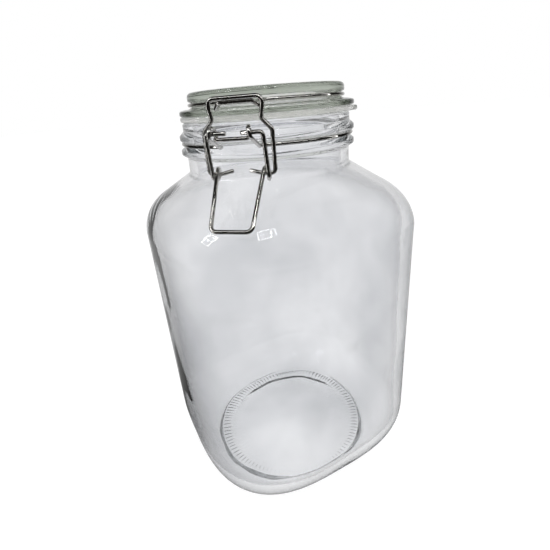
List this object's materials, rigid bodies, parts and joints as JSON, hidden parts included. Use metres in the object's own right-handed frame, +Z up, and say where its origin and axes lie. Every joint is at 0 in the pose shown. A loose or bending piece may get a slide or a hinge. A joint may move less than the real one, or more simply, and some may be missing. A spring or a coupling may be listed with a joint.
{
  "type": "bail_clamp_jar",
  "caption": "Rounded-square clear glass storage jar with a hinged glass lid, a pull-tab gasket and a bent steel wire bail clamp",
  "frame": {"origin": "centre of the base, on the ring that the jar stands on", "axes": "+Z up along the jar's axis; the clamp faces -Y, the lid hinges at +Y, +X is to the right of someone facing the clamp"},
  "size_m": [0.1692, 0.1692, 0.2413],
  "materials": {
    "body_glass": "clear pressed glass",
    "lid_glass": "thick clear pressed glass with a grey-green edge",
    "seal_rubber": "translucent white",
    "wire_steel": "bright drawn stainless wire"
  },
  "bodies": {
    "jar": {"jar_body": "body_glass", "neck_wire": "wire_steel"},
    "lid_body": {"lid": "lid_glass", "gasket": "seal_rubber", "lid_wire": "wire_steel"},
    "lever_body": {"lever": "wire_steel"},
    "link_body": {"bail_link": "wire_steel"}
  },
  "joints": [
    {"name": "lid_hinge", "type": "hinge", "parent": "jar", "child": "lid_body", "pos_m": [0, 0.0585, 0.222], "axis": [-1, 0, 0], "range_deg": [0, 100]},
    {"name": "lever_pivot", "type": "hinge", "parent": "jar", "child": "lever_body", "pos_m": [0, -0.061, 0.2219], "axis": [-1, 0, 0], "range_deg": [0, 120]},
    {"name": "link_pivot", "type": "hinge", "parent": "lever_body", "child": "link_body", "pos_m": [0, -0.0545, 0.2028], "axis": [-1, 0, 0], "range_deg": [-120, 0]}
  ],
  "couplings": [
    {"joint": "lever_pivot", "follows": "lid_hinge", "ratio": 1.2},
    {"joint": "link_pivot", "follows": "lid_hinge", "ratio": -1.2}
  ]
}
